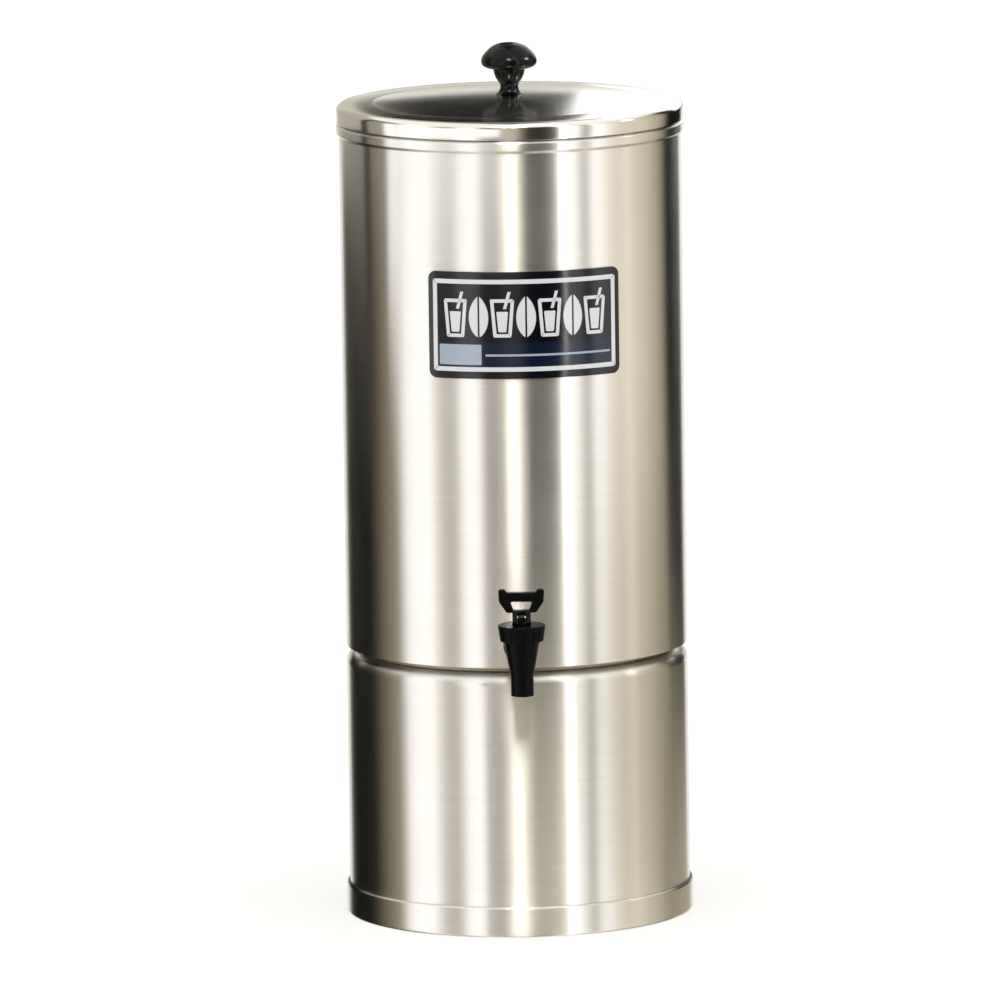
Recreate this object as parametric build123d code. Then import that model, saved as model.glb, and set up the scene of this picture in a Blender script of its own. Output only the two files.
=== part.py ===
from build123d import *
import math
import os

# Iced tea dispenser: a formed steel tank on a hollow steel base, with a lift-off lid,
# a name plate and a self-closing faucet worked by a stirrup handle.
# The origin is on the axis of the tank at the counter, +Z up, the faucet towards -Y, sizes in mm.

# Sheet metal
body_diameter = 260.0
sheet = 1.0
bend_radius = 2.0
edge_round = 0.3

# Gaps between pieces
rest_gap = 0.3
weld_gap = 0.05
pin_clearance = 0.05
guide_clearance = 0.1
thread_clearance = 0.15
glue_gap = 0.3

# Base
base_height = 201.0
shoulder_radius = 8.5
ledge_width = 14.0
ledge_lip_depth = 8.0
band_height = 23.0
band_proud = 2.3
band_edge_radius = 1.8
band_hem_width = 4.5
band_hem_height = 8.0

# Tank
seam_gap = 5.0
foot_ring_recess = 9.5
foot_ring_flange = 9.0
foot_ring_height = 5.0
tank_height = 412.2
rim_hem_width = 2.2
rim_hem_height = 6.0
bead_height = 10.0
bead_depth = 2.0
bead_round = 1.2
floor_corner_radius = 3.0
floor_flange_height = 4.0
floor_flat_width = 12.0
floor_crown = 3.0

# Lid
lid_gap = 1.0
lid_skirt_height = 14.0
lid_edge_radius = 6.0
lid_rim_width = 28.0
lid_dome_height = 5.0

# Knob
knob_height = 39.5
knob_head_diameter = 42.4
knob_head_height = 20.0
knob_crown_diameter = 30.0
knob_crown_drop = 4.6
knob_widest_drop = 14.5
knob_head_underside_diameter = 24.0
knob_neck_diameter = 13.6
knob_neck_height = 7.0
knob_base_diameter = 21.0
knob_screw_diameter = 4.0
knob_screw_engagement = 10.0
knob_screw_head_diameter = 8.0
knob_screw_head_height = 2.6
knob_washer_diameter = 12.0
knob_washer_thickness = 1.0
knob_insert_diameter = 8.0
knob_insert_length = 13.0
# Falls of the knob's outline per millimetre outwards, and the lean of its neck per millimetre down
knob_underside_fall = 0.2
knob_neck_lean = 0.5
knob_foot_fall = 0.6

# Name plate
plate_length = 152.0
plate_height = 81.0
plate_thickness = 0.8
plate_corner_radius = 6.0
plate_centre_z = 467.0
plate_turn = 3.3

# Faucet body
faucet_reach = 42.0
spout_diameter = 17.2
spout_bore = 13.0
spout_length = 16.6
spout_step = 0.35
taper_length = 25.0
taper_top_diameter = 27.4
taper_bottom_above_shank = -15.1
seat_depth = 6.1
seat_cone_height = 8.0
chamber_diameter = 20.0
neck_diameter = 26.0
neck_length = 9.0
shank_diameter = 19.0
shank_bore = 11.0
shank_inside_length = 17.0
shank_chamfer = 0.6
flange_diameter = 26.0
flange_thickness = 4.0
flange_edge_round = 0.9
gasket_thickness = 2.4
inner_gasket_diameter = 27.0
inner_gasket_thickness = 2.0
gasket_floor_gap = 0.5
shank_washer_thickness = 1.2
nut_across_flats = 26.0
nut_thickness = 8.0
nut_chamfer = 1.0

# Faucet bonnet
bonnet_top_diameter = 36.2
bonnet_bottom_diameter = 32.6
bonnet_cap_thickness = 2.0
bonnet_edge_radius = 0.8
bonnet_flutes = 18
bonnet_flute_diameter = 2.4
bonnet_flute_depth = 0.7

# Stem, seat cup and spring
stem_diameter = 6.0
stem_head_width = 8.0
stem_head_thickness = 5.4
stem_head_above_bonnet = 0.6
stem_foot_diameter = 9.0
stem_foot_height = 2.0
cup_skirt_thickness = 1.1
cup_seat_gap = 0.25
cup_flange_thickness = 1.2
cup_base_thickness = 5.0
cup_cover_thickness = 1.2
cup_bottom_above_seat = 1.0
spring_wire = 1.0
spring_diameter = 11.0
spring_turns = 5
spring_end_gap = 0.3

# Handle and its cam heel
pin_diameter = 3.0
pin_height = 5.2
cam_lift_per_radian = 5.5
cam_angle = 50.0
cam_steps = 5
hub_width = 13.7
hub_back = 5.5
hub_top_above_pin = 5.8
hub_slot_clearance = 0.3
hub_slot_roof = 4.9
loop_thickness = 5.5
loop_width = 34.8
loop_top_above_pin = 22.0
loop_root_above_pin = 3.0
loop_bowl_above_pin = 4.2
loop_bowl_width = 22.0
loop_flank_width = 33.4
loop_dip = 2.3
loop_tip_width = 4.6
loop_tip_slope_width = 2.3
loop_bar_depth = 7.2
loop_hole_width = 16.8
loop_hole_bottom_width = 12.0
loop_hole_height = 6.2
loop_corner_radius = 2.0
loop_hole_corner_radius = 1.2
loop_edge_round = 0.9

# Places worked out from the sizes above
body_radius = body_diameter / 2
wall_inner_radius = body_radius - sheet
ledge_inner_radius = body_radius - shoulder_radius - ledge_width
foot_ring_radius = body_radius - foot_ring_recess
floor_z = base_height + foot_ring_height
tank_bottom_z = base_height + seam_gap
tank_rim_z = tank_bottom_z + tank_height
lid_radius = body_radius + lid_gap + sheet
rim_round = rim_hem_width / 2 - weld_gap
# The rim's rounded edge seats in the hollow corner of the lid, between two arcs one inside the other.
seat_sideways = body_radius - rim_round - (lid_radius - lid_edge_radius)
seat_reach = lid_edge_radius - sheet - rest_gap - rim_round
seat_rise = math.sqrt(seat_reach**2 - seat_sideways**2)
lid_rim_z = tank_rim_z - rim_round - seat_rise + lid_edge_radius
skirt_bottom_z = lid_rim_z - lid_skirt_height
bead_top_z = skirt_bottom_z - rest_gap
bead_bottom_z = bead_top_z - bead_height
dome_radius = lid_radius - lid_rim_width
dome_top_z = lid_rim_z + lid_dome_height
shank_z = floor_z + floor_flange_height + gasket_floor_gap + inner_gasket_diameter / 2
faucet_y = -(body_radius + faucet_reach)
spout_top_z = shank_z + taper_bottom_above_shank
spout_tip_z = spout_top_z - spout_length
taper_top_z = spout_top_z + taper_length
seat_z = spout_top_z + seat_depth
neck_top_z = taper_top_z + neck_length
bonnet_ceiling_z = neck_top_z + cup_flange_thickness
bonnet_top_z = bonnet_ceiling_z + bonnet_cap_thickness
neck_bore_radius = neck_diameter / 2 + thread_clearance
flange_face_y = -(body_radius + gasket_thickness)
inner_gasket_face_y = -(wall_inner_radius - inner_gasket_thickness)
washer_face_y = inner_gasket_face_y + shank_washer_thickness
shank_end_y = -wall_inner_radius + shank_inside_length
pin_z = bonnet_top_z + pin_height
heel_radius = pin_height - rest_gap
cup_bottom_z = seat_z + cup_bottom_above_seat
cup_base_top_z = cup_bottom_z + cup_base_thickness
stem_foot_z = cup_base_top_z - cup_cover_thickness - stem_foot_height
seat_slope = (chamber_diameter - spout_bore) / 2 / seat_cone_height


def section(corners):
    """Closed section in the XZ plane from corners of (radius, height, corner rounding)."""
    points = [(radius, 0, z) for radius, z, _ in corners]
    roundings = [rounding for _, _, rounding in corners]
    return make_face(FilletPolyline(*points, radius=roundings, close=True))


def turned(corners):
    """Solid of revolution about the Z axis."""
    return revolve(section(corners), Axis.Z)


def dished_disc(radius, rise, z, hole_radius=0.0):
    """Sheet disc that rises as a shallow spherical cap above height z, with a round hole in its middle."""
    sphere_radius = (radius**2 + rise**2) / (2 * rise)

    def cap_point(r, lift):
        return (r, 0, z + rise - sphere_radius + math.sqrt(sphere_radius**2 - r**2) + lift)

    middle = (radius + hole_radius) / 2
    lower = ThreePointArc(cap_point(hole_radius, 0), cap_point(middle, 0), cap_point(radius, 0))
    upper = ThreePointArc(cap_point(hole_radius, sheet), cap_point(middle, sheet), cap_point(radius, sheet))
    ends = [Line(lower @ 0, upper @ 0), Line(lower @ 1, upper @ 1)]
    return revolve(make_face([lower, upper] + ends), Axis.Z)


def along_y(radius, y_start, y_end, z):
    """Round bar along Y between two places."""
    disc = Plane((0, y_start, z), x_dir=(1, 0, 0), z_dir=(0, 1, 0)) * Circle(radius)
    return extrude(disc, y_end - y_start)


def make_base_shell():
    """Drawn cylinder with a rounded shoulder and an inward ledge that carries the tank."""
    foot_z = sheet
    lip_z = base_height - ledge_lip_depth
    inner_bend = bend_radius - sheet
    return turned(
        [
            (body_radius, foot_z, edge_round),
            (body_radius, base_height, shoulder_radius),
            (ledge_inner_radius, base_height, bend_radius),
            (ledge_inner_radius, lip_z, edge_round),
            (ledge_inner_radius + sheet, lip_z, edge_round),
            (ledge_inner_radius + sheet, base_height - sheet, inner_bend),
            (body_radius - sheet, base_height - sheet, shoulder_radius - sheet),
            (body_radius - sheet, foot_z, edge_round),
        ]
    )


def make_base_band():
    """Formed band round the foot, turned in under the edge of the shell and up behind it."""
    outer = body_radius + band_proud
    hem_radius = outer - sheet - band_hem_width
    inner_round = band_edge_radius - sheet
    return turned(
        [
            (body_radius + weld_gap, band_height, 0),
            (outer, band_height, band_edge_radius),
            (outer, 0, band_edge_radius),
            (hem_radius - sheet, 0, band_edge_radius),
            (hem_radius - sheet, band_hem_height, edge_round),
            (hem_radius, band_hem_height, edge_round),
            (hem_radius, sheet, inner_round),
            (outer - sheet, sheet, inner_round),
            (outer - sheet, band_height - sheet, inner_round),
            (body_radius + weld_gap, band_height - sheet, 0),
        ]
    )


def make_tank_foot_ring():
    """Channel ring set back under the tank, which leaves the dark seam and stands on the ledge."""
    outer = foot_ring_radius
    inner = foot_ring_radius - foot_ring_flange
    inner_bend = bend_radius - sheet
    return turned(
        [
            (outer, base_height, bend_radius),
            (outer, floor_z, bend_radius),
            (inner, floor_z, 0),
            (inner, floor_z - sheet, 0),
            (outer - sheet, floor_z - sheet, inner_bend),
            (outer - sheet, base_height + sheet, inner_bend),
            (inner, base_height + sheet, 0),
            (inner, base_height, 0),
        ]
    )


def make_tank_shell():
    """Tank wall with a rolled bead below the lid, a flattened hem at the rim and the shank's hole."""
    # The inside corners of the bead shift by this much so that its sloped walls keep the sheet's thickness.
    shift = sheet * (math.sqrt(2) - 1)
    crest = body_radius + bead_depth
    wall = turned(
        [
            (body_radius, tank_bottom_z, edge_round),
            (body_radius, bead_bottom_z, bead_round),
            (crest, bead_bottom_z + bead_depth, bead_round),
            (crest, bead_top_z - bead_depth, bead_round),
            (body_radius, bead_top_z, bead_round),
            (body_radius, tank_rim_z, rim_round),
            (body_radius - rim_hem_width, tank_rim_z, rim_round),
            (body_radius - rim_hem_width, tank_rim_z - rim_hem_height, edge_round),
            (wall_inner_radius, tank_rim_z - rim_hem_height, 0),
            (wall_inner_radius, bead_top_z - shift, bead_round),
            (crest - sheet, bead_top_z - bead_depth - shift, 0),
            (crest - sheet, bead_bottom_z + bead_depth + shift, 0),
            (wall_inner_radius, bead_bottom_z + shift, bead_round),
            (wall_inner_radius, tank_bottom_z, edge_round),
        ]
    )
    hole = along_y(shank_diameter / 2 + rest_gap, -body_radius - band_proud, -body_radius / 2, shank_z)
    return wall - hole


def make_tank_floor():
    """Pan welded into the foot of the tank, crowned so that the last of the tea runs to the faucet."""
    outer = wall_inner_radius - weld_gap
    crown_radius = outer - floor_corner_radius - floor_flat_width
    rim = turned(
        [
            (crown_radius, floor_z, 0),
            (outer, floor_z, floor_corner_radius),
            (outer, floor_z + floor_flange_height, edge_round),
            (outer - sheet, floor_z + floor_flange_height, edge_round),
            (outer - sheet, floor_z + sheet, floor_corner_radius - sheet),
            (crown_radius, floor_z + sheet, 0),
        ]
    )
    return rim + dished_disc(crown_radius, floor_crown, floor_z)


def make_name_plate():
    """Thin rounded plate rolled to the tank and glued on its front."""
    inner = body_radius + glue_gap
    outer = inner + plate_thickness
    chord = 2 * outer * math.sin(plate_length / outer / 2)
    outline = Plane.XZ * RectangleRounded(chord, plate_height, plate_corner_radius)
    block = Pos(0, 0, plate_centre_z) * extrude(outline, body_radius + band_proud)
    rolled = Pos(0, 0, plate_centre_z) * (Cylinder(outer, plate_height) - Cylinder(inner, plate_height))
    return Rot(0, 0, plate_turn) * (rolled & block)


def make_lid_cover():
    """Lid with a straight skirt, a rounded edge, a flat rim and a shallow dome with the screw's hole."""
    inner_edge = lid_edge_radius - sheet
    rim = turned(
        [
            (lid_radius, skirt_bottom_z, edge_round),
            (lid_radius, lid_rim_z, lid_edge_radius),
            (dome_radius, lid_rim_z, 0),
            (dome_radius, lid_rim_z - sheet, 0),
            (lid_radius - sheet, lid_rim_z - sheet, inner_edge),
            (lid_radius - sheet, skirt_bottom_z, edge_round),
        ]
    )
    hole_radius = knob_screw_diameter / 2 + rest_gap
    return rim + dished_disc(dome_radius, lid_dome_height, lid_rim_z - sheet, hole_radius)


def make_lid_knob():
    """Moulded mushroom knob: crowned head with a rolled edge, waisted neck and flared foot."""
    base_z = dome_top_z
    top_z = base_z + knob_height
    head_bottom_z = top_z - knob_head_height
    crown_edge = (knob_crown_diameter / 2, 0, top_z - knob_crown_drop)
    widest = (knob_head_diameter / 2, 0, top_z - knob_widest_drop)
    under = (knob_head_underside_diameter / 2, 0, head_bottom_z)
    waist = (knob_neck_diameter / 2, 0, base_z + knob_neck_height)
    foot = (knob_base_diameter / 2, 0, base_z)
    crown = Spline((0, 0, top_z), crown_edge, widest, tangents=[(1, 0, 0), (0, 0, -1)])
    roll = Spline(widest, under, tangents=[(0, 0, -1), (-1, 0, -knob_underside_fall)])
    neck_slopes = [(-knob_neck_lean, 0, -1), (1, 0, -knob_foot_fall)]
    neck = Spline(under, waist, foot, tangents=neck_slopes)
    base = Line(foot, (0, 0, base_z))
    axis = Line((0, 0, base_z), (0, 0, top_z))
    body = revolve(make_face([crown, roll, neck, base, axis]), Axis.Z)
    socket_height = knob_insert_length + weld_gap
    socket = Pos(0, 0, base_z + socket_height / 2) * Cylinder(knob_insert_diameter / 2 + weld_gap, socket_height)
    return body - socket


def make_knob_insert():
    """Brass sleeve moulded into the knob, with a grooved waist that keeps it from pulling out."""
    outer = knob_insert_diameter / 2
    groove = outer - edge_round
    bore = knob_screw_diameter / 2 + weld_gap
    base_z = dome_top_z + weld_gap
    third = knob_insert_length / 3
    return turned(
        [
            (bore, base_z, 0),
            (outer, base_z, 0),
            (outer, base_z + third, 0),
            (groove, base_z + third, 0),
            (groove, base_z + 2 * third, 0),
            (outer, base_z + 2 * third, 0),
            (outer, base_z + knob_insert_length - weld_gap, edge_round),
            (bore, base_z + knob_insert_length - weld_gap, 0),
        ]
    )


def make_knob_washer():
    """Flat washer between the screw's head and the underside of the dome."""
    top_z = dome_top_z - sheet - weld_gap
    hole = knob_screw_diameter / 2 + guide_clearance
    return turned(
        [
            (hole, top_z - knob_washer_thickness, 0),
            (knob_washer_diameter / 2, top_z - knob_washer_thickness, edge_round),
            (knob_washer_diameter / 2, top_z, edge_round),
            (hole, top_z, 0),
        ]
    )


def make_knob_screw():
    """Pan-head screw from inside the lid up into the knob's insert, with a cross recess."""
    head_top_z = dome_top_z - sheet - weld_gap - knob_washer_thickness
    head_bottom_z = head_top_z - knob_screw_head_height
    head_radius = knob_screw_head_diameter / 2
    tip_z = dome_top_z + knob_screw_engagement
    screw = turned(
        [
            (0, head_bottom_z, 0),
            (head_radius, head_bottom_z, knob_screw_head_height / 2),
            (head_radius, head_top_z, 0),
            (knob_screw_diameter / 2, head_top_z, 0),
            (knob_screw_diameter / 2, tip_z, edge_round),
            (0, tip_z, 0),
        ]
    )
    slot_depth = knob_screw_head_height / 2
    slot = Pos(0, 0, head_bottom_z + slot_depth / 2) * Box(head_radius, sheet, slot_depth)
    return screw - slot - Rot(0, 0, 90) * slot


def make_faucet_body():
    """Moulded body: straight spout, tapered valve chamber, neck for the bonnet and the shank with its flange."""
    spout_radius = spout_diameter / 2
    outside = turned(
        [
            (0, spout_tip_z, 0),
            (spout_radius, spout_tip_z, edge_round),
            (spout_radius, spout_top_z, 0),
            (spout_radius + spout_step, spout_top_z, 0),
            (taper_top_diameter / 2, taper_top_z, 0),
            (neck_diameter / 2, taper_top_z, 0),
            (neck_diameter / 2, neck_top_z, edge_round),
            (0, neck_top_z, 0),
        ]
    )
    chamber = turned(
        [
            (0, spout_tip_z, 0),
            (spout_bore / 2, spout_tip_z, 0),
            (spout_bore / 2, seat_z, 0),
            (chamber_diameter / 2, seat_z + seat_cone_height, 0),
            (chamber_diameter / 2, neck_top_z, 0),
            (0, neck_top_z, 0),
        ]
    )
    shank = along_y(shank_diameter / 2, faucet_y, shank_end_y, shank_z)
    shank = chamfer(shank.edges().sort_by(Axis.Y)[-1], shank_chamfer)
    flange = along_y(flange_diameter / 2, flange_face_y - flange_thickness, flange_face_y, shank_z)
    flange = fillet(flange.edges().sort_by(Axis.Y)[0], flange_edge_round)
    bore = along_y(shank_bore / 2, faucet_y, shank_end_y, shank_z)
    return Pos(0, faucet_y, 0) * outside + shank + flange - Pos(0, faucet_y, 0) * chamber - bore


def make_faucet_bonnet():
    """Fluted collar that screws over the neck, clamps the cup's flange and guides the stem."""
    top_radius = bonnet_top_diameter / 2
    bottom_radius = bonnet_bottom_diameter / 2
    guide_radius = stem_diameter / 2 + guide_clearance
    collar = turned(
        [
            (neck_bore_radius, taper_top_z, 0),
            (bottom_radius, taper_top_z, bonnet_edge_radius),
            (top_radius, bonnet_top_z, bonnet_edge_radius),
            (guide_radius, bonnet_top_z, 0),
            (guide_radius, bonnet_ceiling_z, 0),
            (neck_bore_radius, bonnet_ceiling_z, 0),
        ]
    )
    lean = math.degrees(math.atan2(top_radius - bottom_radius, bonnet_top_z - taper_top_z))
    middle_z = (taper_top_z + bonnet_top_z) / 2
    cutter_place = (top_radius + bottom_radius) / 2 + bonnet_flute_diameter / 2 - bonnet_flute_depth
    flute = Cylinder(bonnet_flute_diameter / 2, 2 * (bonnet_top_z - taper_top_z))
    flute = Pos(cutter_place, 0, middle_z) * Rot(0, lean, 0) * flute
    for i in range(bonnet_flutes):
        collar -= Rot(0, 0, 360 * i / bonnet_flutes) * flute
    return Pos(0, faucet_y, 0) * collar


def make_seat_cup():
    """Silicone cup: coned plug on the seat, thin skirt round the spring and a flange under the bonnet."""
    def seat_radius(z):
        return spout_bore / 2 + (z - seat_z) * seat_slope - cup_seat_gap

    plug_bottom = seat_radius(cup_bottom_z)
    plug_top = seat_radius(cup_base_top_z)
    skirt_inner = plug_top - cup_skirt_thickness
    foot_radius = stem_foot_diameter / 2 + weld_gap
    stem_hole = stem_diameter / 2 + weld_gap
    foot_top_z = stem_foot_z + stem_foot_height + weld_gap
    cup = turned(
        [
            (0, cup_bottom_z, 0),
            (plug_bottom, cup_bottom_z, edge_round),
            (plug_top, cup_base_top_z, 0),
            (plug_top, neck_top_z, 0),
            (neck_diameter / 2 - edge_round, neck_top_z, 0),
            (neck_diameter / 2 - edge_round, bonnet_ceiling_z, 0),
            (skirt_inner, bonnet_ceiling_z, 0),
            (skirt_inner, cup_base_top_z, 0),
            (stem_hole, cup_base_top_z, 0),
            (stem_hole, foot_top_z, 0),
            (foot_radius, foot_top_z, 0),
            (foot_radius, stem_foot_z - weld_gap, 0),
            (0, stem_foot_z - weld_gap, 0),
        ]
    )
    return Pos(0, faucet_y, 0) * cup


def make_faucet_stem():
    """Stem: disc foot held in the cup, round rod through the bonnet and a flat head drilled for the pin."""
    rod_radius = stem_diameter / 2
    head_radius = stem_head_width / 2
    head_bottom_z = bonnet_top_z + stem_head_above_bonnet
    rod = turned(
        [
            (0, stem_foot_z, 0),
            (stem_foot_diameter / 2, stem_foot_z, edge_round),
            (stem_foot_diameter / 2, stem_foot_z + stem_foot_height, edge_round),
            (rod_radius, stem_foot_z + stem_foot_height, 0),
            (rod_radius, head_bottom_z + edge_round, 0),
            (0, head_bottom_z + edge_round, 0),
        ]
    )
    cheek = Pos(0, head_bottom_z) * Rectangle(stem_head_width, pin_z - head_bottom_z, align=(Align.CENTER, Align.MIN))
    outline = cheek + Pos(0, pin_z) * Circle(head_radius) - Pos(0, pin_z) * Circle(pin_diameter / 2 + pin_clearance)
    head = extrude(Plane.YZ * outline, stem_head_thickness / 2, both=True)
    return Pos(0, faucet_y, 0) * (rod + head)


def spring_height(angle):
    """Height of the middle of the wire at a turned angle."""
    bottom = cup_base_top_z + spring_wire / 2 + spring_end_gap
    top = bonnet_ceiling_z - spring_wire / 2 - spring_end_gap
    return bottom + (top - bottom) * angle / (2 * math.pi * spring_turns)


def spring_point(angle):
    radius = spring_diameter / 2
    return Vector(radius * math.cos(angle), radius * math.sin(angle), spring_height(angle))


def spring_direction(angle):
    radius = spring_diameter / 2
    climb = spring_height(1) - spring_height(0)
    return Vector(-radius * math.sin(angle), radius * math.cos(angle), climb).normalized()


def quarter_turn(angle):
    """Two arcs that leave one point of the helix along it and reach the next a quarter turn on."""
    start = spring_point(angle)
    end = spring_point(angle + math.pi / 2)
    leave = spring_direction(angle)
    arrive = spring_direction(angle + math.pi / 2)
    span = end - start
    both = leave + arrive
    a = 4 - both.dot(both)
    b = 2 * span.dot(both)
    reach = (-b + math.sqrt(b**2 + 4 * a * span.dot(span))) / (2 * a)
    corner_in = start + leave * reach
    corner_out = end - arrive * reach
    joint = (corner_in + corner_out) / 2
    first = TangentArc(start, joint, tangent=leave)
    second = TangentArc(joint, end, tangent=corner_out - corner_in)
    return [first, second]


def make_return_spring():
    """Compression spring inside the cup, one unbroken wire between the plug and the bonnet."""
    arcs = []
    for i in range(4 * spring_turns):
        arcs += quarter_turn(i * math.pi / 2)
    path = Wire(arcs)
    start = Plane(origin=path @ 0, z_dir=path % 0)
    turn_gap = spring_height(2 * math.pi) - spring_height(0) - spring_wire
    print(f"spring: least gap between turns {turn_gap:.2f} mm, wire length {path.length:.1f} mm")
    return Pos(0, faucet_y, 0) * sweep(start * Circle(spring_wire / 2), path=path)


def heel_point(angle):
    """Point of the cam heel that faces straight down when the handle is tilted by this angle.

    Its height under the pin grows by the same amount for each degree, so the stem rises evenly.
    """
    reach = heel_radius + cam_lift_per_radian * angle
    forward = reach * math.sin(angle) + cam_lift_per_radian * math.cos(angle)
    down = reach * math.cos(angle) - cam_lift_per_radian * math.sin(angle)
    return (-forward, pin_z - down)


def make_faucet_handle():
    """Stirrup handle: pierced loop on a forked hub whose cam heel rolls on the bonnet and lifts the stem."""
    end_angle = math.radians(cam_angle)
    cam_points = [heel_point(end_angle * i / cam_steps) for i in range(cam_steps + 1)]
    cam_end = (-math.cos(end_angle), math.sin(end_angle))
    cam = Spline(*cam_points, tangents=[(-1, 0), cam_end])
    heel_z = pin_z - heel_radius
    half_loop = loop_thickness / 2
    shoulder_z = pin_z + hub_top_above_pin
    nose = Line(cam @ 1, (-half_loop, shoulder_z))
    roof = Line((-half_loop, shoulder_z), (half_loop, shoulder_z))
    back_top = (hub_back, pin_z)
    rise = TangentArc(back_top, (half_loop, shoulder_z), tangent=(0, 1))
    back = Line(back_top, (hub_back, heel_z))
    flat = Line((hub_back, heel_z), cam_points[0])
    hub_outline = make_face([cam, nose, roof, rise, back, flat])
    hub = extrude(Plane.YZ * hub_outline, hub_width / 2, both=True)
    slot_width = stem_diameter + 2 * hub_slot_clearance
    slot_height = hub_slot_roof + pin_height
    slot = Pos(0, 0, pin_z + hub_slot_roof - slot_height / 2) * Box(slot_width, loop_width, slot_height)
    handle = hub + make_handle_loop() - slot
    pin_hole = Pos(0, 0, pin_z) * Rot(0, 90, 0) * Cylinder(pin_diameter / 2 + weld_gap, hub_width)
    return Pos(0, faucet_y, 0) * (handle - pin_hole)


def make_handle_loop():
    """Loop of the handle: a plate that widens upwards to two raised corners, pierced below its top bar."""
    top_z = pin_z + loop_top_above_pin
    root_z = pin_z + loop_root_above_pin
    dip_z = top_z - loop_dip
    half_top = loop_width / 2
    half_root = hub_width / 2
    half_bowl = loop_bowl_width / 2
    half_flank = loop_flank_width / 2
    bowl_z = pin_z + loop_bowl_above_pin
    flank_z = dip_z - loop_bar_depth
    tip = half_top - loop_tip_width
    tip_foot = tip - loop_tip_slope_width
    corners = [
        (-half_root, root_z),
        (half_root, root_z),
        (half_root, bowl_z),
        (half_bowl, bowl_z),
        (half_flank, flank_z),
        (half_top, top_z),
        (tip, top_z),
        (tip_foot, dip_z),
        (-tip_foot, dip_z),
        (-tip, top_z),
        (-half_top, top_z),
        (-half_flank, flank_z),
        (-half_bowl, bowl_z),
        (-half_root, bowl_z),
    ]
    soft = loop_corner_radius
    small = loop_hole_corner_radius
    roundings = [0, 0, 0, soft, soft, soft, small, small, small, small, soft, soft, soft, 0]
    outline = make_face(FilletPolyline(*corners, radius=roundings, close=True))
    hole_top_z = dip_z - loop_bar_depth
    hole_bottom_z = hole_top_z - loop_hole_height
    hole_corners = [
        (-loop_hole_bottom_width / 2, hole_bottom_z),
        (loop_hole_bottom_width / 2, hole_bottom_z),
        (loop_hole_width / 2, hole_top_z),
        (-loop_hole_width / 2, hole_top_z),
    ]
    hole = make_face(FilletPolyline(*hole_corners, radius=small, close=True))
    plate = extrude(Plane.XZ * (outline - hole), loop_thickness / 2, both=True)
    faces = plate.faces().filter_by(Axis.Y)
    return fillet(faces.edges(), loop_edge_round)


def make_handle_pin():
    """Pin of the handle, a push fit in the fork and free to turn in the stem's head."""
    pin = Rot(0, 90, 0) * Cylinder(pin_diameter / 2, hub_width - 2 * rest_gap)
    pin = chamfer(pin.edges().filter_by(GeomType.CIRCLE), edge_round)
    return Pos(0, faucet_y, pin_z) * pin


def make_shank_gasket_outer():
    """Saddle gasket, flat on the faucet's flange and hollowed to the tank on its other side."""
    ring = along_y(flange_diameter / 2, flange_face_y, -body_radius / 2, shank_z)
    ring -= along_y(shank_diameter / 2 + weld_gap, flange_face_y, -body_radius / 2, shank_z)
    return ring - Pos(0, 0, shank_z) * Cylinder(body_radius + weld_gap, body_diameter)


def make_shank_gasket_inner():
    """Saddle gasket inside the tank, rounded to the wall and flat towards the washer."""
    ring = along_y(inner_gasket_diameter / 2, -body_radius, inner_gasket_face_y, shank_z)
    ring -= along_y(shank_diameter / 2 + weld_gap, -body_radius, inner_gasket_face_y, shank_z)
    return ring & Pos(0, 0, shank_z) * Cylinder(wall_inner_radius - weld_gap, body_diameter)


def make_shank_washer():
    """Flat washer that spreads the nut's load over the inner gasket."""
    disc = along_y(inner_gasket_diameter / 2, inner_gasket_face_y, washer_face_y, shank_z)
    return disc - along_y(shank_diameter / 2 + guide_clearance, inner_gasket_face_y, washer_face_y, shank_z)


def make_shank_lock_nut():
    """Chamfered hexagon nut that draws the faucet up against the wall."""
    start = Plane((0, washer_face_y, shank_z), x_dir=(1, 0, 0), z_dir=(0, 1, 0))
    hexagon = extrude(start * RegularPolygon(nut_across_flats / 2, 6, major_radius=False), nut_thickness)
    corner_radius = nut_across_flats / math.sqrt(3)
    blank = along_y(corner_radius, washer_face_y, washer_face_y + nut_thickness, shank_z)
    blank = chamfer(blank.edges().sort_by(Axis.Y)[-1], nut_chamfer)
    bore = along_y(shank_diameter / 2 + guide_clearance, washer_face_y, washer_face_y + nut_thickness, shank_z)
    return (hexagon & blank) - bore


makers = {
    "base_shell": make_base_shell,
    "base_band": make_base_band,
    "tank_foot_ring": make_tank_foot_ring,
    "tank_shell": make_tank_shell,
    "tank_floor": make_tank_floor,
    "name_plate": make_name_plate,
    "lid_cover": make_lid_cover,
    "lid_knob": make_lid_knob,
    "knob_insert": make_knob_insert,
    "knob_washer": make_knob_washer,
    "knob_screw": make_knob_screw,
    "faucet_body": make_faucet_body,
    "faucet_bonnet": make_faucet_bonnet,
    "seat_cup": make_seat_cup,
    "faucet_stem": make_faucet_stem,
    "return_spring": make_return_spring,
    "faucet_handle": make_faucet_handle,
    "handle_pin": make_handle_pin,
    "shank_gasket_outer": make_shank_gasket_outer,
    "shank_gasket_inner": make_shank_gasket_inner,
    "shank_washer": make_shank_washer,
    "shank_lock_nut": make_shank_lock_nut,
}

os.makedirs("parts", exist_ok=True)
for node, make in makers.items():
    export_step(make(), f"parts/{node}.step")
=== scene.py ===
import math

import bmesh
import bpy
from mathutils import Matrix, Quaternion, Vector
from mathutils.geometry import interpolate_bezier


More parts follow.
